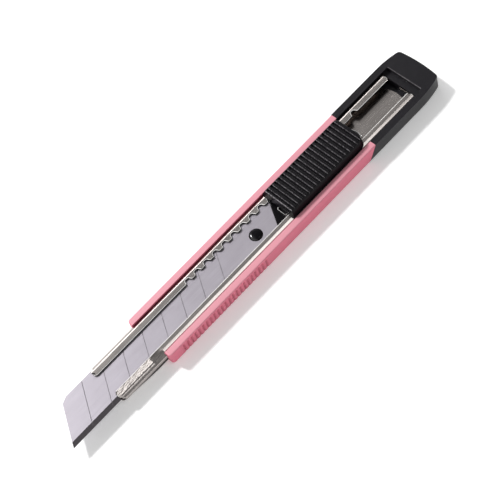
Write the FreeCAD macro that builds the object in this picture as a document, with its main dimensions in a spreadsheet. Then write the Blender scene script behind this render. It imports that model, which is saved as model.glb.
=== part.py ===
import FreeCAD, Part
import math
import os
import Sketcher

# Slim snap-off-blade cutter, in millimetres.
# +X runs from the blade towards the end cap, +Y towards the blade's back edge, +Z up through the thumb knob.
# The origin is on the flat underside, halfway along the handle.

DOC = FreeCAD.newDocument("snap_off_cutter")
SHEET = DOC.addObject("Spreadsheet::Sheet", "Sheet")

# alias, value, meaning
DIMENSIONS = [
    # handle and end cap
    ("body_half", 6.1, "half the outer width of handle and cap"),
    ("body_height", 3.73, "underside to the top of the rails"),
    ("rail_gap_half", 4.66, "half the opening between the handle's rails"),
    ("rail_lip", 0.50, "thickness of the rail that overhangs the sheath"),
    ("cavity_half", 5.0, "half the width of the channel for the sheath"),
    ("cavity_floor", 0.90, "floor of the channel above the underside"),
    ("handle_front", 29.75, "origin to the handle's front end"),
    ("joint_top", 30.05, "origin to the joint of handle and cap, at the top"),
    ("joint_lean", 2.4, "how far the joint leans forwards towards the underside"),
    ("joint_gap", 0.05, "gap in the joint"),
    ("under_round", 0.6, "rounding of the cap's lower edges"),
    ("top_round", 0.25, "rounding of the upper long edges"),
    ("front_round", 0.6, "rounding of the handle's front corners and lower long edges"),
    ("front_under_round", 0.8, "rounding of the handle's lower front edge"),
    ("grip_pitch", 1.06, "finger ribs, centre to centre"),
    ("grip_count", 23, "number of grooves between the finger ribs"),
    ("grip_start", 26.4, "origin to the first groove"),
    ("grip_width", 0.76, "width of a groove at the surface"),
    ("grip_depth", 0.32, "depth of a groove"),
    ("grip_low", -0.1, "lower end of the grooves"),
    ("grip_tall", 3.25, "height of the grooves"),
    ("cap_window_half", 4.6, "half the width of the cap's window"),
    ("cap_straight", 44.0, "origin to where the cap's sides start to curve in"),
    ("cap_corner_x", 50.25, "origin to the cap's rear corners"),
    ("cap_corner_y", 5.25, "half the cap's width at its rear corners"),
    ("cap_side_radius", 23.5, "radius of the curved-in sides"),
    ("cap_end_radius", 38.0, "radius of the slightly domed rear end"),
    ("cap_corner_round", 0.9, "rounding of the rear corners"),
    ("ledge_front", 44.25, "origin to the front of the snapping recess"),
    ("ledge_back", 45.8, "origin to the back wall of the snapping recess"),
    ("recess_corner", 0.35, "rounding of the recess's rear corners"),
    ("ledge_level", 2.72, "floor of the snapping recess above the underside"),
    # sheath
    ("sheath_half", 4.95, "half the outer width of the sheath"),
    ("sheath_top", 3.27, "upper face of the lips"),
    ("sheath_low", 0.95, "lower face of the sheath"),
    ("sheet_thick", 0.35, "steel sheet thickness"),
    ("sheath_front", 41.9, "origin to the sheath's front end, at the lips"),
    ("nose_round", 1.2, "rounding of the sheath's front corners, seen from above"),
    ("nose_low", 2.0, "lower face of the sheath at its front end"),
    ("ramp_end", 32.5, "origin to where the nose's slope ends"),
    ("sheath_rear", 43.95, "origin to the lips' rear end"),
    ("plate_rear", 43.3, "origin to the floor plate's rear end"),
    ("plate_rear_radius", 6.0, "radius of the floor plate's rounded rear end"),
    ("top_bend", 0.95, "outer bend radius at the lips"),
    ("inner_bend", 0.25, "inner bend radius at the lips"),
    ("low_bend", 0.3, "outer bend radius at the floor"),
    ("lip_gap_half", 2.64, "half the slot between the lips"),
    ("lip_corner", 0.7, "rounding of the lips' corners"),
    ("notch_pitch", 2.633, "lock notches, centre to centre"),
    ("notch_count", 18, "number of lock notches in the row"),
    ("notch_first", 15.735, "origin to the first notch, forwards"),
    ("notch_depth", 0.88, "depth of a notch"),
    ("notch_roof_half", 0.405, "half the width of a notch's bottom"),
    ("notch_steep", 0.38, "run of the steep flank"),
    ("notch_gentle", 0.52, "run of the gentle flank"),
    ("park_notch", 33.365, "origin to the notch of the retracted position"),
    ("finger_reach", 0.1, "centre line to the end of the stop finger"),
    ("finger_rear", 44.1, "origin to the stop finger's rear face"),
    ("finger_thick", 0.2, "thickness of the stop finger"),
    ("finger_low", 2.2, "lower edge of the stop finger"),
    ("finger_top", 2.74, "upper edge of the stop finger"),
    # blade
    ("blade_top", 2.85, "upper face of the blade"),
    ("blade_thick", 0.38, "thickness of the blade"),
    ("blade_half", 4.5, "half the width of the blade"),
    ("blade_tip", 54.64, "origin to the blade's point"),
    ("blade_lean", 5.133, "run of the slanted ends over the blade's width"),
    ("blade_heel", 3.29, "rear end at the cutting edge"),
    ("tip_clip", 1.45, "clipped corner behind the point, along the back"),
    ("tip_clip_down", 0.68, "clipped corner, across the blade"),
    ("bevel_width", 1.08, "width of the ground edge"),
    ("score_pitch", 5.332, "score lines, centre to centre"),
    ("score_count", 8, "number of score lines"),
    ("score_width", 0.16, "width of a score line"),
    ("score_depth", 0.10, "depth of a score line"),
    ("hole_x", 0.25, "origin to the blade's hole"),
    ("hole_y", 0.45, "hole below the middle of the blade"),
    ("hole_radius", 1.47, "radius of the blade's hole"),
    # carrier
    ("pin_radius", 1.38, "radius of the pin"),
    ("pin_top", 3.20, "top of the pin"),
    ("pin_dome", 0.55, "rounding of the pin's top"),
    ("carrier_half", 4.4, "half the width of the carrier"),
    ("tongue_front", 1.9, "origin to the carrier's front end, forwards"),
    ("tongue_low", 1.85, "lower face of the tongue under the blade"),
    ("tongue_top", 2.43, "upper face of the tongue under the blade"),
    ("block_front", 8.9, "origin to the front of the carrier's thick part"),
    ("carrier_low", 1.40, "lower face of the thick part"),
    ("carrier_top", 2.82, "upper face behind the blade"),
    ("carrier_rear", 28.4, "origin to the carrier's rear end"),
    ("heel_gap", 0.12, "gap between the blade's rear end and the carrier"),
    ("spine_near", 1.25, "centre line to the spring's guide wall"),
    ("spine_far", 2.35, "centre line to the guide wall's outer side"),
    ("spine_top", 3.30, "top of the guide wall"),
    ("spine_front", 15.0, "origin to the guide wall's front"),
    ("spine_rear", 22.8, "origin to the guide wall's rear"),
    # knob
    ("knob_front", 7.5, "origin to the knob's front, at its foot"),
    ("knob_front_top", 7.86, "origin to the knob's front, at its top"),
    ("knob_rear", 29.3, "origin to the knob's rear"),
    ("knob_low", 3.37, "underside of the knob"),
    ("knob_top", 5.51, "top of the knob"),
    ("knob_foot_half", 4.34, "half the knob's width at its foot"),
    ("knob_side_z", 3.95, "height where the knob's sides start to lean in"),
    ("knob_top_half", 3.72, "half the knob's width at its top"),
    ("knob_corner", 1.1, "rounding of the knob's rear corner on the +Y side"),
    ("knob_corner_near", 1.6, "rounding of the knob's rear corner on the -Y side"),
    ("knob_edge", 0.30, "rounding of the knob's upper edges"),
    ("rib_pitch", 1.092, "knob ribs, centre to centre"),
    ("rib_count", 19, "number of grooves between the knob's ribs"),
    ("rib_first", 8.47, "origin to the first groove's middle"),
    ("rib_groove", 0.62, "width of a groove at the top"),
    ("rib_floor", 0.20, "width of a groove at its bottom"),
    ("rib_depth", 0.48, "depth of a groove"),
    ("rib_half", 3.58, "half the length of a groove"),
    ("core_half", 3.5, "half the width of the knob's hollow"),
    ("core_front", 9.2, "origin to the front of the hollow"),
    ("core_rear", 27.6, "origin to the rear of the hollow"),
    ("core_top", 4.25, "ceiling of the hollow"),
    ("leg_near", 1.5, "centre line to the inner side of a leg"),
    ("leg_far", 2.4, "centre line to the outer side of a leg"),
    ("leg_low", 2.0, "lower end of a leg"),
    ("foot_far", 3.6, "centre line to the outer end of a foot"),
    ("foot_top", 2.72, "upper face of a foot, under the lips"),
    ("leg_long", 2.5, "length of a leg"),
    ("leg_first", 10.5, "origin to the front legs"),
    ("leg_second", 24.3, "origin to the rear legs"),
    ("release", 1.0, "travel of the knob on the carrier"),
    ("leg_gap", 0.15, "gap round a leg in its pocket"),
    # lock spring
    ("wire_thick", 0.20, "thickness of the spring strip"),
    ("wire_tall", 0.45, "height of the spring strip"),
    ("wire_low", 2.87, "lower edge of the spring strip"),
    ("wire_bend", 0.24, "bend radius of the strip's centre line"),
    ("fold_x", 7.12, "origin to the spring's front fold"),
    ("fold_gap", 0.52, "between the two strips of the front fold"),
    ("fold_y", 2.40, "centre line to the fold's turn"),
    ("fold_end", 0.45, "centre line to the strip's free end"),
    ("flank_root", 15.37, "origin to where the front flank leaves the centre line"),
    ("flank_slope", 0.85, "sideways rise of the front flank per length"),
    ("knee_y", 2.35, "centre line to the knee below the nose"),
    ("nose_x", 18.54, "origin to the spring's nose, in its notch"),
    ("nose_y", 3.52, "centre line to the corner of the nose"),
    ("back_run", 0.72, "nose to the end of its back slope"),
    ("back_y", 2.45, "centre line to the end of the nose's back slope"),
    ("rear_x", 22.3, "origin to where the rear straight starts"),
    ("rear_y", 0.70, "centre line to the rear straight"),
    ("tail_x", 30.05, "origin to the spring's rear bend"),
    ("tail_bulge", 0.30, "how far the tail bows backwards"),
    ("tail_y", 2.30, "centre line to the tail's end"),
    ("cam_gap", 0.25, "spring's centre line to the cam, along the knife"),
]


for row, (alias, value, meaning) in enumerate(DIMENSIONS, start=1):
    SHEET.set("A%d" % row, alias.replace("_", " "))
    SHEET.set("B%d" % row, str(value))
    SHEET.set("C%d" % row, meaning)
    SHEET.setAlias("B%d" % row, alias)
DOC.recompute()
ALIASES = {alias for alias, value, meaning in DIMENSIONS}
SPARE_CELL = "E1"


def size(formula):
    """The number that a formula of driving dimensions gives."""
    SHEET.set(SPARE_CELL, "=" + formula)
    SHEET.recompute()
    return float(SHEET.get(SPARE_CELL))


def bound(formula):
    """The same formula as an expression for an object outside the sheet."""
    text = ""
    word = ""
    for letter in formula + " ":
        if letter.isalnum() or letter in "_.":
            word += letter
            continue
        text += "Sheet." + word if word in ALIASES else word
        text += letter
        word = ""
    return text.strip()


def new_body(label):
    """An empty body with its own label."""
    body = DOC.addObject("PartDesign::Body", label)
    body.Label = label
    DOC.recompute()
    return body


def origin_item(body, role):
    """One of the body's own origin planes or axes."""
    return [item for item in body.Origin.OriginFeatures if item.Role == role][0]


def new_sketch(body, name, role, offset="0"):
    """A sketch on one of the body's origin planes, moved along the plane's normal."""
    sketch = body.newObject("Sketcher::SketchObject", name)
    sketch.AttachmentSupport = [(origin_item(body, role), "")]
    sketch.MapMode = "FlatFace"
    sketch.setExpression("AttachmentOffset.Base.z", bound(offset))
    return sketch


def add_bound(sketch, constraint, formula):
    """Add a dimensional constraint that follows a formula."""
    index = sketch.addConstraint(constraint)
    sketch.setExpression("Constraints[%d]" % index, bound(formula))


def outline(sketch, points, arcs=None):
    """A closed outline through points given as pairs of formulas.

    arcs maps an edge's number to the radius of its arc. On a counter-clockwise outline the arc bulges outwards,
    or inwards where its formula starts with a minus sign.
    """
    arcs = arcs or {}
    count = len(points)
    spots = [FreeCAD.Vector(size(x), size(y), 0) for x, y in points]
    first = sketch.GeometryCount
    ends = []
    for i in range(count):
        start, end = spots[i], spots[(i + 1) % count]
        if i in arcs:
            formula = arcs[i].lstrip("-")
            radius = size(formula)
            chord = end - start
            outward = FreeCAD.Vector(chord.y, -chord.x, 0).normalize()
            rise = radius - math.sqrt(radius ** 2 - chord.Length ** 2 / 4)
            rise = -rise if arcs[i].startswith("-") else rise
            edge = sketch.addGeometry(Part.Arc(start, (start + end) * 0.5 + outward * rise, end), False)
            add_bound(sketch, Sketcher.Constraint("Radius", edge, radius), formula)
        else:
            edge = sketch.addGeometry(Part.LineSegment(start, end), False)
        forwards = sketch.getPoint(edge, 1).distanceToPoint(start) < 1e-6
        ends.append((1, 2) if forwards else (2, 1))
    for i in range(count):
        after = (i + 1) % count
        sketch.addConstraint(Sketcher.Constraint("Coincident", first + i, ends[i][1], first + after, ends[after][0]))
        for kind, formula in zip(("DistanceX", "DistanceY"), points[i]):
            add_bound(sketch, Sketcher.Constraint(kind, -1, 1, first + i, ends[i][0], size(formula)), formula)


def box_outline(sketch, low_x, high_x, low_y, high_y):
    """A rectangle between two pairs of formulas."""
    outline(sketch, [(low_x, low_y), (high_x, low_y), (high_x, high_y), (low_x, high_y)])


def disc_outline(sketch, centre_x, centre_y, radius):
    """A circle whose centre and radius are formulas."""
    centre = FreeCAD.Vector(size(centre_x), size(centre_y), 0)
    edge = sketch.addGeometry(Part.Circle(centre, FreeCAD.Vector(0, 0, 1), size(radius)), False)
    add_bound(sketch, Sketcher.Constraint("Radius", edge, size(radius)), radius)
    add_bound(sketch, Sketcher.Constraint("DistanceX", -1, 1, edge, 3, centre.x), centre_x)
    add_bound(sketch, Sketcher.Constraint("DistanceY", -1, 1, edge, 3, centre.y), centre_y)


def extrude(body, kind, name, sketch, length, reverse=False, both_ways=False):
    """A Pad or Pocket of a sketch, and a check that it changed the body's volume."""
    before = body.Shape.Volume if body.Tip else 0.0
    feature = body.newObject("PartDesign::" + kind, name)
    feature.Profile = sketch
    feature.setExpression("Length", bound(length))
    feature.Reversed = reverse
    if both_ways:
        feature.SideType = "Symmetric"
    DOC.recompute()
    if abs(body.Shape.Volume - before) < 1e-4:
        raise RuntimeError("%s changed nothing" % name)
    return feature


def repeat(body, name, feature, axis_role, pitch, count, reverse=False):
    """Repeat a feature in a straight row."""
    before = body.Shape.Volume
    pattern = body.newObject("PartDesign::LinearPattern", name)
    pattern.Originals = [feature]
    pattern.Direction = (origin_item(body, axis_role), [""])
    pattern.Reversed = reverse
    pattern.setExpression("Length", bound("(%s) * (%s - 1)" % (pitch, count)))
    pattern.setExpression("Occurrences", bound(count))
    body.Tip = pattern
    DOC.recompute()
    if abs(body.Shape.Volume - before) < 1e-4:
        raise RuntimeError("%s changed nothing" % name)
    return pattern


def round_edges(body, name, radius, chosen):
    """Round the edges of the body's last feature that a test picks out."""
    base = body.Tip
    picked = ["Edge%d" % (i + 1) for i, edge in enumerate(base.Shape.Edges) if chosen(edge)]
    if not picked:
        raise RuntimeError("%s found no edges" % name)
    feature = body.newObject("PartDesign::Fillet", name)
    feature.Base = (base, picked)
    feature.setExpression("Radius", bound(radius))
    DOC.recompute()
    return feature


def near(value, formula):
    """Whether a coordinate is where a formula says."""
    return abs(value - size(formula)) < 1e-4


def straight_along(edge, axis):
    """Whether an edge is a straight line along x, y or z."""
    if len(edge.Vertexes) != 2 or edge.Curve.TypeId != "Part::GeomLine":
        return False
    span = edge.Vertexes[1].Point - edge.Vertexes[0].Point
    return abs(abs(getattr(span, axis)) - span.Length) < 1e-6


def middle(edge):
    """The middle of an edge's two ends."""
    return (edge.Vertexes[0].Point + edge.Vertexes[-1].Point) * 0.5


def build_handle_shell():
    """Plastic channel: two rails that overhang the sheath, a floor, and finger ribs on both sides."""
    body = new_body("handle_shell")
    section = new_sketch(body, "handle_section", "YZ_Plane", "-handle_front")
    lip = "body_height - rail_lip"
    right = [("body_half", "0"), ("body_half", "body_height"), ("rail_gap_half", "body_height"),
             ("rail_gap_half", lip), ("cavity_half", lip), ("cavity_half", "cavity_floor")]
    left = [("-" + y, z) for y, z in reversed(right)]
    outline(section, right + left)
    extrude(body, "Pad", "handle_length", section, "handle_front + joint_top")
    joint = new_sketch(body, "handle_joint", "XZ_Plane")
    outline(joint, [("joint_top - joint_lean", "0"), ("joint_top + 1", "0"), ("joint_top + 1", "body_height"),
                    ("joint_top", "body_height")])
    extrude(body, "Pocket", "handle_joint_cut", joint, "4 * body_half", both_ways=True)
    round_edges(body, "handle_front_under_round", "front_under_round", lambda edge: straight_along(edge, "y")
                and near(middle(edge).x, "-handle_front") and near(middle(edge).z, "0"))
    round_edges(body, "handle_front_round", "front_round", lambda edge: straight_along(edge, "z")
                and near(middle(edge).x, "-handle_front") and near(abs(middle(edge).y), "body_half"))
    round_edges(body, "handle_top_round", "top_round", lambda edge: straight_along(edge, "x")
                and near(abs(middle(edge).y), "body_half") and near(middle(edge).z, "body_height"))
    groove = new_sketch(body, "grip_groove", "XY_Plane", "grip_low")
    for side in ("", "-"):
        outline(groove, [("-grip_start", side + "(body_half + 1)"), ("-grip_start", side + "body_half"),
                         ("-grip_start + grip_width / 2", side + "(body_half - grip_depth)"),
                         ("-grip_start + grip_width", side + "body_half"),
                         ("-grip_start + grip_width", side + "(body_half + 1)")])
    cut = extrude(body, "Pocket", "grip_groove_cut", groove, "grip_tall", reverse=True)
    repeat(body, "grip_row", cut, "X_Axis", "grip_pitch", "grip_count")
    return body


def build_end_cap():
    """Plastic cap over the sheath's rear: a window, the blade snapping recess and a solid end."""
    body = new_body("end_cap")
    plan = new_sketch(body, "cap_plan", "XY_Plane")
    front = "joint_top - joint_lean - 1"
    outline(plan, [(front, "-body_half"), ("cap_straight", "-body_half"), ("cap_corner_x", "-cap_corner_y"),
                   ("cap_corner_x", "cap_corner_y"), ("cap_straight", "body_half"), (front, "body_half")],
            arcs={1: "cap_side_radius", 2: "cap_end_radius", 3: "cap_side_radius"})
    extrude(body, "Pad", "cap_block", plan, "body_height")
    round_edges(body, "cap_corner_rounds", "cap_corner_round", lambda edge: straight_along(edge, "z")
                and near(middle(edge).x, "cap_corner_x"))
    joint = new_sketch(body, "cap_joint", "XZ_Plane")
    outline(joint, [(front + " - 1", "0"), ("joint_top - joint_lean + joint_gap", "0"),
                    ("joint_top + joint_gap", "body_height"), (front + " - 1", "body_height")])
    extrude(body, "Pocket", "cap_joint_cut", joint, "4 * body_half", both_ways=True)
    channel = new_sketch(body, "cap_channel", "YZ_Plane", front + " - 1")
    box_outline(channel, "-cavity_half", "cavity_half", "cavity_floor", "body_height - rail_lip")
    extrude(body, "Pocket", "cap_channel_cut", channel, "ledge_front - (%s - 1)" % front, reverse=True)
    window = new_sketch(body, "cap_window", "XY_Plane", "body_height")
    box_outline(window, front + " - 1", "ledge_front", "-cap_window_half", "cap_window_half")
    extrude(body, "Pocket", "cap_window_cut", window, "rail_lip + 0.1")
    recess = new_sketch(body, "snapping_recess", "XY_Plane", "body_height")
    box_outline(recess, "ledge_front - 1", "ledge_back", "-cap_window_half", "cap_window_half")
    extrude(body, "Pocket", "snapping_recess_cut", recess, "body_height - ledge_level")
    round_edges(body, "recess_corner_rounds", "recess_corner", lambda edge: straight_along(edge, "z")
                and near(middle(edge).x, "ledge_back"))

    def outer_wall(edge):
        ends = [vertex.Point for vertex in edge.Vertexes]
        return len(ends) == 2 and all(abs(end.y) > size("cap_corner_y - cap_corner_round") for end in ends)

    round_edges(body, "cap_under_round", "under_round", lambda edge: outer_wall(edge)
                and all(near(vertex.Point.z, "0") for vertex in edge.Vertexes)
                and not near(middle(edge).y, "0"))
    return body


def build_blade_sheath():
    """Channel folded from one steel sheet: floor, two walls and two lips, one lip notched; its nose slopes up."""
    body = new_body("blade_sheath")
    side = new_sketch(body, "sheath_side", "XZ_Plane")
    outline(side, [("-sheath_front", "sheath_top"), ("-sheath_front", "nose_low"), ("-ramp_end", "sheath_low"),
                   ("sheath_rear", "sheath_low"), ("sheath_rear", "sheath_top")])
    extrude(body, "Pad", "sheath_block", side, "2 * sheath_half", both_ways=True)
    round_edges(body, "sheath_top_bends", "top_bend", lambda edge: straight_along(edge, "x")
                and near(middle(edge).z, "sheath_top"))
    round_edges(body, "sheath_low_bends", "low_bend", lambda edge: near(abs(middle(edge).y), "sheath_half")
                and middle(edge).z < size("nose_low") and not straight_along(edge, "z"))
    inside = new_sketch(body, "sheath_inside", "XZ_Plane")
    rise = "(nose_low - sheath_low) / (sheath_front - ramp_end)"
    outline(inside, [("-sheath_front - 1", "sheath_top - sheet_thick"),
                     ("-sheath_front - 1", "nose_low + sheet_thick + " + rise),
                     ("-ramp_end", "sheath_low + sheet_thick"), ("sheath_rear + 1", "sheath_low + sheet_thick"),
                     ("sheath_rear + 1", "sheath_top - sheet_thick")])
    extrude(body, "Pocket", "sheath_inside_cut", inside, "2 * (sheath_half - sheet_thick)", both_ways=True)
    round_edges(body, "sheath_inner_bends", "inner_bend", lambda edge: straight_along(edge, "x")
                and near(middle(edge).z, "sheath_top - sheet_thick")
                and near(abs(middle(edge).y), "sheath_half - sheet_thick"))
    corners = new_sketch(body, "nose_corners", "XY_Plane", "sheath_top")
    for side, bulge in (("", "nose_round"), ("-", "-nose_round")):
        outline(corners, [("-sheath_front - 1", side + "(sheath_half + 1)"),
                          ("-sheath_front + nose_round", side + "(sheath_half + 1)"),
                          ("-sheath_front + nose_round", side + "sheath_half"),
                          ("-sheath_front", side + "(sheath_half - nose_round)"),
                          ("-sheath_front - 1", side + "(sheath_half - nose_round)")], arcs={2: bulge})
    extrude(body, "Pocket", "nose_corners_cut", corners, "sheath_top")
    slot = new_sketch(body, "lip_slot", "XY_Plane", "sheath_top")
    box_outline(slot, "-sheath_front - 1", "sheath_rear + 1", "-lip_gap_half", "lip_gap_half")
    extrude(body, "Pocket", "lip_slot_cut", slot, "sheet_thick + 0.1")
    notch = new_sketch(body, "lock_notch", "XY_Plane", "sheath_top")
    notch_outline(notch, "-notch_first")
    cut = extrude(body, "Pocket", "lock_notch_cut", notch, "sheet_thick + 0.1")
    repeat(body, "lock_notch_row", cut, "X_Axis", "notch_pitch", "notch_count")
    park = new_sketch(body, "park_notch_plan", "XY_Plane", "sheath_top")
    notch_outline(park, "park_notch")
    extrude(body, "Pocket", "park_notch_cut", park, "sheet_thick + 0.1")
    rear = new_sketch(body, "plate_rear_plan", "XY_Plane", "sheath_low + sheet_thick + 0.1")
    inner = "(sheath_half - sheet_thick)"
    plate_side = "plate_rear - plate_rear_radius + sqrt(plate_rear_radius ^ 2 - %s ^ 2)" % inner
    outline(rear, [("sheath_rear + 1", "-" + inner), ("sheath_rear + 1", inner), (plate_side, inner),
                   (plate_side, "-" + inner)], arcs={2: "-plate_rear_radius"})
    extrude(body, "Pocket", "plate_rear_cut", rear, "sheet_thick + 1")
    finger = new_sketch(body, "stop_finger", "XY_Plane", "finger_low")
    box_outline(finger, "finger_rear - finger_thick", "finger_rear", "-sheath_half", "-finger_reach")
    extrude(body, "Pad", "stop_finger_pad", finger, "finger_top - finger_low")

    def lip_corner(edge):
        place = middle(edge)
        at_end = near(place.x, "-sheath_front") or near(place.x, "sheath_rear")
        return straight_along(edge, "z") and at_end and near(abs(place.y), "lip_gap_half")

    round_edges(body, "lip_corners", "lip_corner", lip_corner)
    return body


def notch_outline(sketch, centre):
    """One lock notch in the lip: a flat bottom, a steep flank towards the blade and a gentle one towards the cap."""
    mouth = "lip_gap_half - 0.1"
    roof = "lip_gap_half + notch_depth"
    outline(sketch, [(centre + " - notch_roof_half - notch_steep", mouth),
                     (centre + " + notch_roof_half + notch_gentle", mouth),
                     (centre + " + notch_roof_half", roof), (centre + " - notch_roof_half", roof)])


def build_snap_off_blade():
    """One blade: slanted ends, ground edge, clipped corner, eight score lines and the pin's hole."""
    body = new_body("snap_off_blade")
    plan = new_sketch(body, "blade_plan", "XY_Plane", "blade_top")
    clip = "blade_lean * (1 - tip_clip_down / (2 * blade_half))"
    outline(plan, [("-blade_tip", "-blade_half"), ("blade_heel", "-blade_half"),
                   ("blade_heel + blade_lean", "blade_half"), ("-blade_tip + %s + tip_clip" % clip, "blade_half"),
                   ("-blade_tip + " + clip, "blade_half - tip_clip_down")])
    extrude(body, "Pad", "blade_sheet", plan, "blade_thick", reverse=True)
    for name, face, middle_z in (("upper", "blade_top + 0.1", "blade_top - blade_thick / 2"),
                                 ("lower", "blade_top - blade_thick - 0.1", "blade_top - blade_thick / 2")):
        bevel = new_sketch(body, name + "_bevel", "YZ_Plane")
        flat = "blade_top" if name == "upper" else "blade_top - blade_thick"
        points = [("-blade_half - 0.1", middle_z), ("-blade_half", middle_z), ("-blade_half + bevel_width", flat),
                  ("-blade_half + bevel_width", face), ("-blade_half - 0.1", face)]
        outline(bevel, points if name == "upper" else points[::-1])
        extrude(body, "Pocket", name + "_bevel_cut", bevel, "4 * blade_tip", both_ways=True)
    hole = new_sketch(body, "blade_hole", "XY_Plane", "blade_top")
    disc_outline(hole, "hole_x", "-hole_y", "hole_radius")
    extrude(body, "Pocket", "blade_hole_cut", hole, "blade_thick")
    score = new_sketch(body, "score_line", "XY_Plane", "blade_top")
    run = "-blade_tip + score_pitch"
    outline(score, [(run + " - score_width / 2", "-blade_half"), (run + " + score_width / 2", "-blade_half"),
                    (run + " + score_width / 2 + blade_lean", "blade_half"),
                    (run + " - score_width / 2 + blade_lean", "blade_half")])
    cut = extrude(body, "Pocket", "score_line_cut", score, "score_depth")
    repeat(body, "score_row", cut, "X_Axis", "score_pitch", "score_count")
    return body


def build_blade_carrier():
    """Plastic slide: a tongue under the blade with the pin, and a thick block with pockets for the knob's legs."""
    body = new_body("blade_carrier")
    tongue = new_sketch(body, "carrier_tongue", "XY_Plane", "tongue_low")
    box_outline(tongue, "-tongue_front", "block_front", "-carrier_half", "carrier_half")
    extrude(body, "Pad", "carrier_tongue_pad", tongue, "tongue_top - tongue_low")
    block = new_sketch(body, "carrier_block", "XY_Plane", "carrier_low")
    box_outline(block, "block_front", "carrier_rear", "-carrier_half", "carrier_half")
    extrude(body, "Pad", "carrier_block_pad", block, "carrier_top - carrier_low")
    step = new_sketch(body, "carrier_step", "XY_Plane", "tongue_low")
    heel = "blade_heel + heel_gap + blade_lean / 2"
    slope = "blade_lean / (2 * blade_half)"
    outline(step, [("%s - carrier_half * %s" % (heel, slope), "-carrier_half"), ("block_front", "-carrier_half"),
                   ("block_front", "carrier_half"), ("%s + carrier_half * %s" % (heel, slope), "carrier_half")])
    extrude(body, "Pad", "carrier_step_pad", step, "carrier_top - tongue_low")
    pin = new_sketch(body, "carrier_pin", "XY_Plane", "tongue_low")
    disc_outline(pin, "hole_x", "-hole_y", "pin_radius")
    extrude(body, "Pad", "carrier_pin_pad", pin, "pin_top - tongue_low")
    round_edges(body, "pin_dome_round", "pin_dome", lambda edge: len(edge.Vertexes) == 1
                and near(edge.Vertexes[0].Point.z, "pin_top"))
    spine = new_sketch(body, "spring_guide", "XY_Plane", "carrier_top")
    box_outline(spine, "spine_front", "spine_rear", "-spine_far", "-spine_near")
    extrude(body, "Pad", "spring_guide_pad", spine, "spine_top - carrier_top")
    pockets = new_sketch(body, "leg_pockets", "XY_Plane", "carrier_top")
    for start in ("leg_first", "leg_second"):
        for side in ("", "-"):
            box_outline(pockets, start + " - leg_gap", start + " + leg_long + release + leg_gap",
                        side + "(leg_near - leg_gap)", side + "(foot_far + leg_gap)")
    extrude(body, "Pocket", "leg_pockets_cut", pockets, "carrier_top - leg_low + leg_gap")
    return body


def build_thumb_knob():
    """Ribbed button: a hollow block that slides over the lips, with four hooked legs and the spring's cam."""
    body = new_body("thumb_knob")
    section = new_sketch(body, "knob_section", "YZ_Plane", "knob_front")
    right = [("knob_foot_half", "knob_low"), ("knob_foot_half", "knob_side_z"), ("knob_top_half", "knob_top")]
    outline(section, right + [("-" + y, z) for y, z in reversed(right)])
    extrude(body, "Pad", "knob_block", section, "knob_rear - knob_front")
    face = new_sketch(body, "knob_face", "XZ_Plane")
    outline(face, [("knob_front", "knob_low"), ("knob_front_top", "knob_top"), ("knob_front - 1", "knob_top"),
                   ("knob_front - 1", "knob_low")])
    extrude(body, "Pocket", "knob_face_cut", face, "4 * knob_foot_half", both_ways=True)

    def rear_corner(edge, side):
        ends = [vertex.Point for vertex in edge.Vertexes]
        at_rear = len(ends) == 2 and all(near(end.x, "knob_rear") for end in ends)
        return at_rear and abs(ends[0].z - ends[1].z) > 0.1 and middle(edge).y * side > 0

    round_edges(body, "knob_far_corner", "knob_corner", lambda edge: rear_corner(edge, 1))
    round_edges(body, "knob_near_corner", "knob_corner_near", lambda edge: rear_corner(edge, -1))
    round_edges(body, "knob_upper_edges", "knob_edge", lambda edge: len(edge.Vertexes) == 2
                and all(near(vertex.Point.z, "knob_top") for vertex in edge.Vertexes))
    groove = new_sketch(body, "rib_groove", "XZ_Plane")
    outline(groove, [("rib_first - rib_groove / 2", "knob_top + 0.1"), ("rib_first - rib_groove / 2", "knob_top"),
                     ("rib_first - rib_floor / 2", "knob_top - rib_depth"),
                     ("rib_first + rib_floor / 2", "knob_top - rib_depth"),
                     ("rib_first + rib_groove / 2", "knob_top"), ("rib_first + rib_groove / 2", "knob_top + 0.1")])
    cut = extrude(body, "Pocket", "rib_groove_cut", groove, "2 * rib_half", both_ways=True)
    repeat(body, "rib_row", cut, "X_Axis", "rib_pitch", "rib_count")
    core = new_sketch(body, "knob_core", "XY_Plane", "knob_low")
    box_outline(core, "core_front", "core_rear", "-core_half", "core_half")
    extrude(body, "Pocket", "knob_core_cut", core, "core_top - knob_low", reverse=True)
    legs = new_sketch(body, "knob_legs", "XY_Plane", "leg_low")
    feet = new_sketch(body, "knob_feet", "XY_Plane", "leg_low")
    for start in ("leg_first", "leg_second"):
        for side in ("", "-"):
            box_outline(legs, start, start + " + leg_long", side + "leg_near", side + "leg_far")
            box_outline(feet, start, start + " + leg_long", side + "(leg_far - 0.2)", side + "foot_far")
    extrude(body, "Pad", "knob_legs_pad", legs, "core_top - leg_low + 0.1")
    extrude(body, "Pad", "knob_feet_pad", feet, "foot_top - leg_low")
    cam = new_sketch(body, "spring_cam", "XY_Plane", "carrier_top + 0.1")
    flank = "flank_root + %s / flank_slope - cam_gap"
    outline(cam, [(flank % "leg_near" + " - 1", "leg_near"), (flank % "leg_near", "leg_near"),
                  (flank % "leg_far", "leg_far"), (flank % "leg_near" + " - 1", "leg_far")])
    extrude(body, "Pad", "spring_cam_pad", cam, "core_top - carrier_top")
    return body


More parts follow.
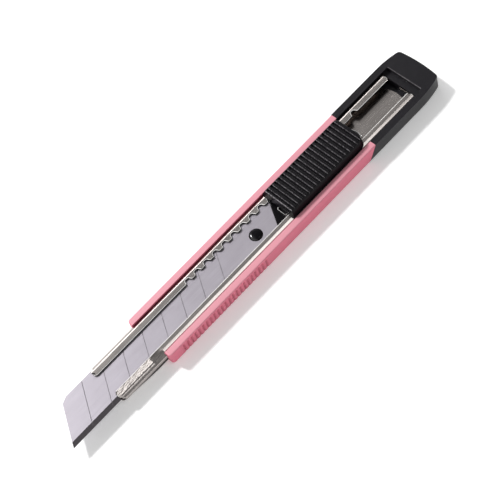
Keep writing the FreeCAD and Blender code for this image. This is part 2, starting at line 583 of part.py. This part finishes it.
def bent_path(points):
    """A flat wire through corners given as (x formula, y formula, bend radius formula)."""
    corners = [FreeCAD.Vector(size(x), size(y), 0) for x, y, bend in points]
    edges = []
    start = corners[0]
    for before, corner, after, point in zip(corners, corners[1:], corners[2:], points[1:]):
        arriving = (corner - before).normalize()
        leaving = (after - corner).normalize()
        half_turn = arriving.getAngle(leaving) / 2
        radius = size(point[2])
        reach = radius * math.tan(half_turn)
        inwards = (leaving - arriving).normalize()
        crest = corner + inwards * (radius / math.cos(half_turn) - radius)
        edges.append(Part.LineSegment(start, corner - arriving * reach).toShape())
        start = corner + leaving * reach
        edges.append(Part.Arc(corner - arriving * reach, crest, start).toShape())
    edges.append(Part.LineSegment(start, corners[-1]).toShape())
    return Part.Wire(edges)


def build_lock_spring():
    """Spring strip on edge: folded front end, nose in the lip's notch, tail bowed across the rear."""
    bend = "wire_bend"
    path = bent_path([
        ("fold_x + fold_gap", "-fold_end", bend),
        ("fold_x + fold_gap", "-fold_y", bend),
        ("fold_x", "-fold_y", bend),
        ("fold_x", "0", bend),
        ("flank_root", "0", "3 * wire_bend"),
        ("flank_root + knee_y / flank_slope", "knee_y", bend),
        ("nose_x", "nose_y", bend),
        ("nose_x + back_run", "back_y", "2 * wire_bend"),
        ("rear_x", "rear_y", "3 * wire_bend"),
        ("tail_x", "rear_y", bend),
        ("tail_x + tail_bulge", "(rear_y - tail_y) / 2", "12 * wire_bend"),
        ("tail_x", "-tail_y", bend)])
    strip = Part.Face(path.makeOffset2D(size("wire_thick / 2"), 0, False, False))
    solid = strip.extrude(FreeCAD.Vector(0, 0, size("wire_tall")))
    solid.translate(FreeCAD.Vector(0, 0, size("wire_low")))
    spring = DOC.addObject("Part::Feature", "lock_spring")
    spring.Label = "lock_spring"
    spring.Shape = solid
    return spring


PARTS = [build_handle_shell(), build_blade_sheath(), build_snap_off_blade(), build_blade_carrier(),
         build_lock_spring(), build_thumb_knob(), build_end_cap()]
DOC.recompute()
for item in DOC.Objects:
    if "Invalid" in item.State or "Error" in item.State:
        raise RuntimeError("%s is in state %s" % (item.Name, item.State))

os.makedirs("parts", exist_ok=True)
for part in PARTS:
    shape = part.Shape
    if shape.isNull() or not shape.isValid() or len(shape.Solids) != 1:
        raise RuntimeError("%s is not one valid solid" % part.Label)
    shape.exportStep("parts/%s.step" % part.Label)
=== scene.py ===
import math

import bmesh
import bpy
from mathutils import Matrix, Vector


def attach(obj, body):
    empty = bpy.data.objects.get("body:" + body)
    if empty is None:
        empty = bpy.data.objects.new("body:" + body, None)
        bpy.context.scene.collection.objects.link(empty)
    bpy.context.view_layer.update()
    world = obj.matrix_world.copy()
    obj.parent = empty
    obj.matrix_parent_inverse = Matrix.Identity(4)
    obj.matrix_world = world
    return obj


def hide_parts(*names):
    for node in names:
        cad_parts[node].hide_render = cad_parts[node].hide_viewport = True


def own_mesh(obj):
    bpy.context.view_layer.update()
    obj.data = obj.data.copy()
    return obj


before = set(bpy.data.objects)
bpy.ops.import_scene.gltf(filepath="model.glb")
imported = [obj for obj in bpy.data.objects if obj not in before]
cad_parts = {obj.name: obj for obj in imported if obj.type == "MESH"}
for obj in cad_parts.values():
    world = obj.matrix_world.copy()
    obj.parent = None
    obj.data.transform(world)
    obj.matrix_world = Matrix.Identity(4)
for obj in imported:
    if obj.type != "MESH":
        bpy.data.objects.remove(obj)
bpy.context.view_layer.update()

# Looks of the slim snap-off-blade cutter. Places, pattern sizes and depths are in millimetres of the CAD
# frame; the lights, their distances and the floor are in metres. Colours are linear. +X runs from the blade
# towards the end cap, +Y towards the blade's back edge and +Z up through the thumb knob. The near side is -Y.

MM = 0.001

# colours
PINK = (0.77, 0.165, 0.25)
# painted sheen: the handle's upward faces are coloured this paler pink in place of the lights' glare
PAINTED_SHEEN_PINK = (0.72, 0.272, 0.335)
BLACK = (0.0075, 0.0066, 0.0092)
# painted highlight for the knob's rib edges and front edge, and for the cap's snapping edge
PAINTED_HIGHLIGHT_GREY = (0.25, 0.235, 0.25)
SHEET_STEEL = (0.58, 0.535, 0.51)
BLADE_STEEL = (0.375, 0.35, 0.39)
SPRING_STEEL = (0.85, 0.84, 0.83)
# painted highlight on the rounded rims of the sheath's lips and nose
PAINTED_RIM_HIGHLIGHT = (0.95, 0.93, 0.91)
# painted shade on the sheath's upright cut edges, near black
PAINTED_EDGE_SHADE = (0.004, 0.004, 0.004)

# handle: the grooves between the finger ribs, on its outer sides
GROOVE_FLOOR, GROOVE_LIP = 5.85, 6.08
GRIP_INNER, GRIP_FRONT, GRIP_TOP = 5.5, -28.0, 3.25

# end cap: the back edge of the snapping recess
SNAP_EDGE, SNAP_EDGE_WIDTH = 45.72, 0.20
SNAP_EDGE_LOW, SNAP_EDGE_HALF = 3.55, 4.5

# thumb knob: grooves across its top
RIB_FIRST, RIB_PITCH = 8.47, 1.092
# the stretch of each rib pitch that carries the painted highlight
RIB_HIGHLIGHT = (0.24, 0.335)
KNOB_TOP, KNOB_FRONT_EDGE = 5.51, 7.98

# carrier: the pin is polished on its side towards the blade's point
PIN_POLISHED, PIN_DULL = -0.6, -0.2

# sheath: lips above LIP_LOW, bent down outside LIP_FLAT_HALF, and a nose that stands out of the handle
LIP_LOW, LIP_FLAT_HALF = 2.86, 3.75
NOSE_ROUNDING = -41.2
NOSE_STRETCH = (-32.5, -29.5)
WALL_FOOT = 1.95
# stretches along y where the lips' surface leans
NEAR_SAG, NEAR_LEAN, NEAR_LIP_EDGE, FAR_SAG = (-4.7, -3.6), (-4.1, -2.5), (-2.4, -2.2), (3.78, 4.5)

# blade: floors of the score lines, and where the ground edge starts
SCORE_LOW, SCORE_HIGH = 2.60, 2.80
GROUND_EDGE = -3.42


class Paint:
    """A procedural material round one Principled shader. Pattern sizes are in millimetres of the object."""

    def __init__(self, name, **fixed):
        self.material = bpy.data.materials.new(name)
        self.material.use_nodes = True
        self.tree = self.material.node_tree
        self.shader = self.tree.nodes["Principled BSDF"]
        self.place = self.tree.nodes.new("ShaderNodeTexCoord")
        for socket, value in fixed.items():
            self.shader.inputs[socket.replace("_", " ")].default_value = value

    def fill(self, socket, value):
        """Give a socket a plain value or another node's output."""
        if isinstance(value, bpy.types.NodeSocket):
            self.tree.links.new(value, socket)
        else:
            socket.default_value = value

    def add(self, kind, *values, **inputs):
        """A new node: values fill its sockets in order, inputs fill them by name."""
        node = self.tree.nodes.new(kind)
        for socket, value in zip(node.inputs, values):
            self.fill(socket, value)
        for name, value in inputs.items():
            self.fill(node.inputs[name], value)
        return node

    def noise(self, grain, detail=3.0, roughness=0.55):
        """Cloudy pattern whose blobs are about grain = (x, y, z) mm long."""
        scale = [1 / (size * MM) for size in grain]
        scaled = self.add("ShaderNodeMapping", Vector=self.place.outputs["Object"], Scale=scale)
        node = self.add("ShaderNodeTexNoise", Vector=scaled.outputs["Vector"], Scale=1.0, Detail=detail,
                        Roughness=roughness)
        return node.outputs["Fac"]

    def part_of(self, output, axis):
        """The x, y or z part of a vector."""
        return self.add("ShaderNodeSeparateXYZ", Vector=self.place.outputs[output]).outputs[axis.upper()]

    def along(self, axis):
        """The x, y or z coordinate in millimetres."""
        return self.math("MULTIPLY", self.part_of("Object", axis), 1 / MM)

    def facing(self, axis):
        """How far the surface faces along x, y or z: -1 to 1."""
        return self.part_of("Normal", axis)

    def math(self, operation, first, second=0.0):
        """One arithmetic step."""
        node = self.add("ShaderNodeMath", first, second)
        node.operation = operation
        return node.outputs[0]

    def above(self, value, limit):
        """1 where a value is above a limit, else 0."""
        return self.math("GREATER_THAN", value, limit)

    def below(self, value, limit):
        """1 where a value is below a limit, else 0."""
        return self.math("LESS_THAN", value, limit)

    def both(self, first, second, *more):
        """The product of two or more masks: 1 where all of them are 1."""
        product = self.math("MULTIPLY", first, second)
        return self.both(product, *more) if more else product

    def spread(self, value, low, high, to_low=0.0, to_high=1.0):
        """Map a range of values to another one, clamped."""
        node = self.add("ShaderNodeMapRange", value, low, high, to_low, to_high)
        return node.outputs["Result"]

    def mix(self, factor, first, second):
        """Blend two colours."""
        node = self.tree.nodes.new("ShaderNodeMix")
        node.data_type = "RGBA"
        self.fill(node.inputs[0], factor)
        for socket, colour in ((node.inputs[6], first), (node.inputs[7], second)):
            self.fill(socket, (*colour, 1.0) if isinstance(colour, tuple) else colour)
        return node.outputs[2]

    def set(self, socket, value):
        """Feed a pattern into the shader."""
        self.tree.links.new(value, self.shader.inputs[socket])

    def cover(self, mask, colour, roughness):
        """Another tone and roughness where the mask is 1. Later covers lie on top of earlier ones."""
        tone = self.shader.inputs["Base Color"].links[0].from_socket
        rough = self.shader.inputs["Roughness"].links[0].from_socket
        self.set("Base Color", self.mix(mask, tone, colour))
        change = self.both(self.math("SUBTRACT", roughness, rough), mask)
        self.set("Roughness", self.math("ADD", rough, change))

    def bump(self, height, depth):
        """Surface relief, depth in mm. Later bumps lie on top of earlier ones."""
        node = self.add("ShaderNodeBump", Height=height, Strength=1.0, Distance=depth * MM)
        if self.shader.inputs["Normal"].links:
            self.tree.links.new(self.shader.inputs["Normal"].links[0].from_socket, node.inputs["Normal"])
        self.set("Normal", node.outputs["Normal"])


def tinted(colour, factor):
    """A colour made lighter or darker."""
    return tuple(channel * factor for channel in colour)


def plastic(name, colour, roughness, specular, grain, grain_depth):
    """Moulded plastic: slightly cloudy colour, fine spark-eroded grain, faint rub marks."""
    paint = Paint(name, Specular_IOR_Level=specular, IOR=1.5)
    clouds = paint.noise((9.0, 5.0, 5.0), detail=4.0)
    fine = paint.noise((grain, grain, grain), detail=2.0)
    scuffs = paint.noise((2.5, 0.25, 0.25), detail=3.0, roughness=0.7)
    tone = paint.mix(paint.spread(clouds, 0.3, 0.7), tinted(colour, 0.96), tinted(colour, 1.04))
    tone = paint.mix(paint.spread(scuffs, 0.66, 0.80, 0.0, 0.2), tone, tinted(colour, 1.2))
    paint.set("Base Color", tone)
    paint.set("Roughness", paint.spread(scuffs, 0.3, 0.75, roughness - 0.05, roughness + 0.07))
    paint.bump(fine, grain_depth)
    return paint


def carrier_plastic():
    """The carrier's smooth black plastic, polished where blades are hooked over its pin."""
    paint = plastic("black_carrier_plastic", tinted(BLACK, 0.35), roughness=0.20, specular=0.16, grain=0.20,
                    grain_depth=0.003)
    paint.set("Specular IOR Level", paint.spread(paint.along("x"), PIN_POLISHED, PIN_DULL, 0.9, 0.16))
    return paint.material


def handle_plastic():
    """The handle's pink plastic, paler on upward faces as a painted sheen, and darker down in the grooves
    between the finger ribs as painted shade.
    """
    paint = plastic("pink_moulded_plastic", PINK, roughness=0.50, specular=0.85, grain=0.12,
                    grain_depth=0.012)
    aside = paint.math("ABSOLUTE", paint.along("y"))
    sunk = paint.both(paint.spread(aside, GROOVE_FLOOR, GROOVE_LIP, 1.0, 0.0), paint.above(aside, GRIP_INNER))
    on_grip = paint.both(paint.above(paint.along("x"), GRIP_FRONT), paint.below(paint.along("z"), GRIP_TOP))
    # painted shade: the grooves between the finger ribs coloured darker
    paint.cover(paint.both(sunk, on_grip, 0.45), tinted(PINK, 0.5), 0.6)
    # painted sheen: faces turned upwards coloured paler
    paint.cover(paint.spread(paint.facing("z"), 0.3, 0.8), PAINTED_SHEEN_PINK, 0.5)
    return paint.material


def cap_plastic():
    """The cap's grained black plastic, with a painted highlight along its snapping edge."""
    paint = plastic("black_grained_plastic", BLACK, roughness=0.33, specular=0.34, grain=0.16,
                    grain_depth=0.014)
    place = paint.along("x")
    edge = paint.both(paint.above(place, SNAP_EDGE), paint.below(place, SNAP_EDGE + SNAP_EDGE_WIDTH))
    high = paint.above(paint.along("z"), SNAP_EDGE_LOW)
    inner = paint.below(paint.math("ABSOLUTE", paint.along("y")), SNAP_EDGE_HALF)
    highlight_breakup = paint.spread(paint.noise((0.5, 0.5, 0.5), detail=2.0), 0.35, 0.6, 0.35, 1.0)
    # painted highlight along the back edge of the snapping recess, broken up by noise
    paint.cover(paint.both(edge, high, inner, highlight_breakup), tinted(PAINTED_HIGHLIGHT_GREY, 0.6), 0.35)
    return paint.material


def knob_plastic():
    """The knob's plastic: fine grain, and a painted highlight along the ribs' edges and the front edge."""
    paint = plastic("black_knob_plastic", tinted(BLACK, 0.6), roughness=0.26, specular=0.26, grain=0.14,
                    grain_depth=0.006)
    turns = paint.math("DIVIDE", paint.math("SUBTRACT", paint.along("x"), RIB_FIRST), RIB_PITCH)
    across = paint.math("MULTIPLY", paint.math("FRACT", turns), RIB_PITCH)
    edge = paint.both(paint.above(across, RIB_HIGHLIGHT[0]), paint.below(across, RIB_HIGHLIGHT[1]))
    front = paint.below(paint.along("x"), KNOB_FRONT_EDGE)
    high = paint.above(paint.along("z"), KNOB_TOP - 0.22)
    highlight_breakup = paint.spread(paint.noise((0.3, 0.35, 0.3), detail=2.0), 0.38, 0.60, 0.15, 1.0)
    # painted highlight on the ribs' edges and the knob's front edge, near the top
    paint.cover(paint.both(paint.math("MAXIMUM", edge, front), high, highlight_breakup), PAINTED_HIGHLIGHT_GREY, 0.4)
    paint.set("Specular IOR Level", paint.spread(paint.facing("y"), -0.6, -0.2, 0.10, 0.26))
    return paint.material


def steel(name, colour, roughness, streak, streak_depth, mottle):
    """Steel with fine streaks, about streak = (x, y, z) mm long, and a little uneven tone."""
    paint = Paint(name, Metallic=1.0)
    lines = paint.noise(streak, detail=4.0, roughness=0.65)
    cloud = paint.noise((6.0, 3.0, 3.0), detail=4.0)
    tone = paint.mix(paint.spread(lines, 0.3, 0.7), tinted(colour, 0.88), tinted(colour, 1.08))
    tone = paint.mix(paint.spread(cloud, 0.35, 0.75, 0.0, mottle), tone, tinted(colour, 0.6))
    paint.set("Base Color", tone)
    paint.set("Roughness", paint.spread(lines, 0.25, 0.75, roughness - 0.05, roughness + 0.07))
    paint.bump(lines, streak_depth)
    return paint


def sheath_steel():
    """The sheath's rolled sheet steel: lips that sag a little, painted highlights on the rims and painted
    shade on the cut edges.
    """
    paint = steel("rolled_sheet_steel", SHEET_STEEL, roughness=0.19, streak=(8.0, 0.12, 0.12),
                  streak_depth=0.003, mottle=0.35)
    colour_rims(paint)
    colour_walls(paint)
    sag_lips(paint)
    return paint.material


def colour_rims(paint):
    """Painted highlights round the rims of the lips and the nose, and painted shade on the upright cut edges
    that face the near side.
    """
    upwards = paint.facing("z")
    at_lips = paint.above(paint.along("z"), LIP_LOW)
    rounded = paint.both(paint.above(upwards, 0.7), paint.below(upwards, 0.99))
    on_flat = paint.below(paint.math("ABSOLUTE", paint.along("y")), LIP_FLAT_HALF)
    at_nose = paint.below(paint.along("x"), NOSE_ROUNDING)
    # painted highlight on the rounded rims, made matt so that it stays bright
    rim_highlight = paint.both(rounded, paint.math("MAXIMUM", on_flat, at_nose), at_lips)
    paint.cover(rim_highlight, PAINTED_RIM_HIGHLIGHT, 0.42)
    paint.set("Metallic", paint.math("SUBTRACT", 1.0, rim_highlight))
    # painted shade on the upright cut edges of the lips that face the near side
    upright = paint.below(upwards, 0.7)
    to_near_side = paint.below(paint.facing("y"), -0.3)
    paint.cover(paint.both(upright, to_near_side, at_lips), PAINTED_EDGE_SHADE, 0.7)
    # painted shade on the upright faces of the nose that face the front and the near side
    to_front = paint.below(paint.facing("x"), -0.3)
    paint.cover(paint.both(to_front, to_near_side, upright), (0.015, 0.013, 0.012), 0.6)


def colour_walls(paint):
    """Painted shade at the foot of the near wall, and a duller bend above it, darker as painted shade where it
    faces the near side.
    """
    # painted shade at the foot of the near wall
    foot = paint.both(paint.below(paint.along("z"), WALL_FOOT), paint.below(paint.facing("y"), -0.5))
    paint.cover(foot, (0.05, 0.045, 0.043), 0.4)
    # painted shade on the near-facing part of the bend outside the flat lips
    outside = paint.above(paint.math("ABSOLUTE", paint.along("y")), LIP_FLAT_HALF)
    bend = paint.both(paint.below(paint.facing("y"), -0.12), outside, paint.above(paint.facing("z"), 0.1))
    paint.cover(bend, (0.42, 0.385, 0.37), 0.24)


def sag_lips(paint):
    """Both lips sag outwards a little. The near one leans as a whole at the nose, and is dented there."""
    sideways = paint.along("y")
    in_handle = paint.spread(paint.along("x"), *NOSE_STRETCH)
    bare = paint.spread(paint.along("x"), *NOSE_STRETCH, 1.0, 0.0)
    sag = paint.math("SUBTRACT", paint.spread(sideways, *NEAR_SAG), 1.0)
    paint.bump(paint.both(sag, in_handle), 0.42)
    lean = paint.math("SUBTRACT", paint.spread(sideways, *NEAR_LEAN), 1.0)
    paint.bump(paint.both(lean, bare), 0.66)
    near_lip = paint.spread(sideways, *NEAR_LIP_EDGE, 1.0, 0.0)
    paint.bump(paint.both(paint.noise((0.8, 0.35, 0.35), detail=2.0), bare, near_lip), 0.05)
    wave = paint.math("MULTIPLY", paint.noise((3.0, 50.0, 50.0), detail=2.0), 0.2)
    paint.bump(paint.spread(paint.math("SUBTRACT", sideways, wave), *FAR_SAG, 1.0, 0.0), 0.11)


def blade_steel():
    """Blade steel: matt ground faces, faint score lines, and a ground edge painted dark as painted shade, with
    marks across it.
    """
    paint = steel("ground_blade_steel", BLADE_STEEL, roughness=0.38, streak=(5.0, 0.06, 0.06),
                  streak_depth=0.002, mottle=0.10)
    paint.shader.inputs["Metallic"].default_value = 0.65
    patches = paint.noise((0.4, 0.4, 0.4), detail=2.0)
    score_tone = paint.mix(paint.spread(patches, 0.35, 0.65), (0.20, 0.185, 0.20), (0.30, 0.285, 0.305))
    height = paint.along("z")
    paint.cover(paint.both(paint.below(height, SCORE_HIGH), paint.above(height, SCORE_LOW)), score_tone, 0.5)
    across = paint.noise((0.05, 3.0, 3.0), detail=3.0)
    edge_tone = paint.mix(paint.spread(across, 0.3, 0.7), (0.068, 0.060, 0.066), (0.095, 0.085, 0.093))
    ground = paint.spread(paint.along("y"), GROUND_EDGE - 0.02, GROUND_EDGE + 0.02, 1.0, 0.0)
    # painted shade: the ground edge coloured dark, with grinding marks across it
    paint.cover(ground, edge_tone, 0.40)
    return paint.material


def spring_steel():
    """The lock spring's bright strip steel."""
    return steel("spring_strip_steel", SPRING_STEEL, roughness=0.16, streak=(1.0, 1.0, 0.05),
                 streak_depth=0.002, mottle=0.1).material


# the look of each CAD node, and how far its hard edges are rounded in mm
LOOKS = {
    "handle_shell": (handle_plastic(), 0.10),
    "end_cap": (cap_plastic(), 0.10),
    "thumb_knob": (knob_plastic(), 0.085),
    "blade_carrier": (carrier_plastic(), 0.06),
    "blade_sheath": (sheath_steel(), 0.17),
    "snap_off_blade": (blade_steel(), 0),
}


def soften(piece, width):
    """Round the hard edges of a CAD node with modifiers that leave its own mesh alone."""
    weld = piece.modifiers.new("weld", "WELD")
    weld.merge_threshold = 0.002 * MM
    bevel = piece.modifiers.new("edge_round", "BEVEL")
    bevel.width = width * MM
    bevel.segments = 2
    bevel.limit_method = "ANGLE"
    bevel.angle_limit = math.radians(32)
    # clamping would take the rounding off the whole thin sheath
    bevel.use_clamp_overlap = piece.name != "blade_sheath"
    bevel.harden_normals = True
    bevel.miter_outer = "MITER_ARC"


def keep_inside(piece):
    """Press the rounded surface into the node's own CAD box. Two corners of the sheath would fly out of it."""
    corners = [vertex.co for vertex in piece.data.vertices]
    group = bpy.data.node_groups.new("keep_inside", "GeometryNodeTree")
    for way in ("INPUT", "OUTPUT"):
        group.interface.new_socket("Geometry", in_out=way, socket_type="NodeSocketGeometry")
    entry, leave = group.nodes.new("NodeGroupInput"), group.nodes.new("NodeGroupOutput")
    place = group.nodes.new("GeometryNodeInputPosition").outputs["Position"]
    for operation, pick in (("MAXIMUM", min), ("MINIMUM", max)):
        limit = group.nodes.new("ShaderNodeVectorMath")
        limit.operation = operation
        limit.inputs[1].default_value = [pick(corner[axis] for corner in corners) for axis in range(3)]
        group.links.new(place, limit.inputs[0])
        place = limit.outputs[0]
    move = group.nodes.new("GeometryNodeSetPosition")
    group.links.new(entry.outputs[0], move.inputs["Geometry"])
    group.links.new(place, move.inputs["Position"])
    group.links.new(move.outputs["Geometry"], leave.inputs[0])
    piece.modifiers.new("keep_inside", "NODES").node_group = group


def dress(node, look, width):
    """Give a CAD node its material and shading. Only the flat-sided blade stays unrounded."""
    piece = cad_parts[node]
    custom = piece.data.attributes.get("custom_normal")
    if custom:
        piece.data.attributes.remove(custom)
    piece.data.materials.clear()
    piece.data.materials.append(look)
    if width:
        piece.data.shade_smooth()
        piece.data.set_sharp_from_angle(angle=math.radians(24))
        soften(piece, width)
        keep_inside(piece)
    else:
        piece.data.shade_flat()


# corners of the spring strip's centre line as x and y, with the bend radius at each corner
SPRING_LINE = ((7.64, -0.45, 0.0), (7.64, -2.40, 0.24), (7.12, -2.40, 0.24), (7.12, 0.0, 0.24),
               (15.37, 0.0, 0.72), (18.135, 2.35, 0.24), (18.54, 3.52, 0.24), (19.26, 2.45, 0.48),
               (22.3, 0.70, 0.72), (30.05, 0.70, 0.24), (30.35, -0.80, 2.88), (30.05, -2.30, 0.0))
SPRING_THICK = 0.20
SPRING_LOW, SPRING_TOP = 2.87, 3.32
SPRING_EDGE_ROUND = 0.05


def rounded_line(corners, steps):
    """Points along a line through corners, each turned with its bend radius."""
    line = [Vector(corners[0][:2])]
    for before, corner, after in zip(corners, corners[1:], corners[2:]):
        spot = Vector(corner[:2])
        back = (Vector(before[:2]) - spot).normalized()
        ahead = (Vector(after[:2]) - spot).normalized()
        opening = back.angle(ahead)
        reach = corner[2] / math.tan(opening / 2)
        centre = spot + (back + ahead).normalized() * corner[2] / math.sin(opening / 2)
        first = (spot + back * reach - centre).normalized()
        last = (spot + ahead * reach - centre).normalized()
        for step in range(steps + 1):
            line.append(centre + first.slerp(last, step / steps) * corner[2])
    line.append(Vector(corners[-1][:2]))
    return line


def strip_section(thick, low, top, radius, steps):
    """Rounded rectangle as (sideways, up) points."""
    ring = []
    for side, level, start in ((1, top, 0), (-1, top, 90), (-1, low, 180), (1, low, 270)):
        inwards = -1 if level == top else 1
        for step in range(steps + 1):
            angle = math.radians(start + 90 * step / steps)
            ring.append((side * (thick / 2 - radius) + radius * math.cos(angle),
                         level + inwards * radius + radius * math.sin(angle)))
    return ring


def add_object(name, mesh):
    """An object with a mesh, in the scene."""
    made = bpy.data.objects.new(name, mesh)
    bpy.context.scene.collection.objects.link(made)
    return made


def build_spring():
    """The lock spring as one smooth bent strip of steel, standing on edge."""
    line = rounded_line(SPRING_LINE, steps=8)
    section = strip_section(SPRING_THICK, SPRING_LOW, SPRING_TOP, SPRING_EDGE_ROUND, steps=3)
    shape = bmesh.new()
    rings = []
    for index, spot in enumerate(line):
        forwards = (line[min(index + 1, len(line) - 1)] - line[max(index - 1, 0)]).normalized()
        sideways = Vector((-forwards.y, forwards.x))
        rings.append([shape.verts.new(Vector((*(spot + sideways * across), up)) * MM)
                      for across, up in section])
    count = len(section)
    for ring, after in zip(rings, rings[1:]):
        for k in range(count):
            shape.faces.new((ring[k], after[k], after[(k + 1) % count], ring[(k + 1) % count]))
    shape.faces.new(rings[0])
    shape.faces.new(rings[-1][::-1])
    bmesh.ops.recalc_face_normals(shape, faces=shape.faces[:])
    mesh = bpy.data.meshes.new("lock_spring_strip")
    shape.to_mesh(mesh)
    shape.free()
    mesh.shade_smooth()
    mesh.set_sharp_from_angle(angle=math.radians(50))
    mesh.materials.append(spring_steel())
    spring = add_object("lock_spring_strip", mesh)
    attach(spring, "carriage")
    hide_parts("lock_spring")
    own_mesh(spring)


def build_floor():
    """Plain pale floor just under the flat underside, glowing faintly by itself, a painted glow that lightens
    the shadows on it.
    """
    half = 1.5
    mesh = bpy.data.meshes.new("floor")
    corners = [(-half, -half, 0), (half, -half, 0), (half, half, 0), (-half, half, 0)]
    mesh.from_pydata(corners, [], [(0, 1, 2, 3)])
    floor = add_object("floor", mesh)
    floor.location.z = -0.1 * MM
    # the emission is a painted glow that lightens the shadows cast on the floor
    paint = Paint("pale_floor", Roughness=0.9, Specular_IOR_Level=0.1, Emission_Strength=0.24)
    paint.shader.inputs["Emission Color"].default_value = (1.0, 1.0, 1.0, 1.0)
    cloud = paint.noise((60.0, 60.0, 60.0))
    paint.set("Base Color", paint.mix(cloud, (0.90, 0.90, 0.90), (0.93, 0.93, 0.93)))
    mesh.materials.append(paint.material)


def level_turn(away):
    """Rotation that points an object's +Z along away, with its +X level."""
    level = Vector((0, 0, 1)).cross(away).normalized()
    return Matrix((level, away.cross(level), away)).transposed()


LIGHT_DISTANCE = 1.2


def area_light(name, direction, width, height, power):
    """A softbox that shines at the origin from a direction, its width level."""
    data = bpy.data.lights.new(name, "AREA")
    data.shape = "RECTANGLE"
    data.size = width
    data.size_y = height
    data.energy = power
    light = add_object(name, data)
    away = Vector(direction).normalized()
    light.matrix_world = Matrix.Translation(away * LIGHT_DISTANCE) @ level_turn(away).to_4x4()


# brightness of the surround by its height: 0 is the horizon and all below it, 1 is straight up
SURROUND = ((0.0, 0.8), (0.45, 0.9), (0.78, 0.46), (0.93, 0.26), (1.0, 0.22))
# its strength: a middle value, and how much a direction's x, y and z add to it
SURROUND_SHARES, SURROUND_MIDDLE = (-0.30, 0.32, 0.0), 0.68


def build_light():
    """A key light from beyond the blade's back, two softboxes and a pale surround that is dark overhead."""
    area_light("key", (-0.29, 0.92, 1.0), width=0.13, height=0.13, power=11.0)
    area_light("over_camera", (0.22, -0.42, 0.86), width=0.50, height=0.50, power=1.7)
    area_light("back_strip", (0.12, 0.72, 0.68), width=0.9, height=0.2, power=2.2)
    world = bpy.data.worlds.new("studio")
    world.use_nodes = True
    nodes, links = world.node_tree.nodes, world.node_tree.links
    direction = nodes.new("ShaderNodeTexCoord").outputs["Generated"]
    split = nodes.new("ShaderNodeSeparateXYZ")
    ramp = nodes.new("ShaderNodeValToRGB")
    links.new(direction, split.inputs["Vector"])
    links.new(split.outputs["Z"], ramp.inputs["Fac"])
    ramp.color_ramp.elements[0].position = SURROUND[0][0]
    ramp.color_ramp.elements[1].position = SURROUND[-1][0]
    for position, _ in SURROUND[1:-1]:
        ramp.color_ramp.elements.new(position)
    for element, (_, level) in zip(ramp.color_ramp.elements, SURROUND):
        element.color = (level, level, level, 1.0)
    side = nodes.new("ShaderNodeVectorMath")
    side.operation = "DOT_PRODUCT"
    side.inputs[1].default_value = SURROUND_SHARES
    strength = nodes.new("ShaderNodeMath")
    strength.inputs[1].default_value = SURROUND_MIDDLE
    links.new(direction, side.inputs[0])
    links.new(side.outputs["Value"], strength.inputs[0])
    links.new(ramp.outputs["Color"], nodes["Background"].inputs["Color"])
    links.new(strength.outputs[0], nodes["Background"].inputs["Strength"])
    bpy.context.scene.world = world


# the camera looks at a place on the floor, from a direction and a distance, turned about its own axis
CAMERA_TARGET = (-2.181, -0.360, 0.0)
CAMERA_AZIMUTH, CAMERA_ELEVATION, CAMERA_ROLL = map(math.radians, (-117.255, 59.176, -21.800))
CAMERA_DISTANCE = 297.12


def build_camera():
    """A view from above the blade's cutting edge, with the cutter across the picture's corners."""
    data = bpy.data.cameras.new("camera")
    data.sensor_width = 36.0
    data.lens = 107.12
    data.clip_start = 0.01
    data.clip_end = 10.0
    camera = add_object("camera", data)
    ahead = math.cos(CAMERA_ELEVATION)
    away = Vector((ahead * math.cos(CAMERA_AZIMUTH), ahead * math.sin(CAMERA_AZIMUTH),
                   math.sin(CAMERA_ELEVATION)))
    turn = level_turn(away) @ Matrix.Rotation(CAMERA_ROLL, 3, "Z")
    place = (Vector(CAMERA_TARGET) + away * CAMERA_DISTANCE) * MM
    camera.matrix_world = Matrix.Translation(place) @ turn.to_4x4()
    bpy.context.scene.camera = camera


for node, (look, width) in LOOKS.items():
    dress(node, look, width)
build_spring()
build_floor()
build_light()
build_camera()
bpy.context.scene.view_settings.view_transform = "Standard"
bpy.context.view_layer.update()
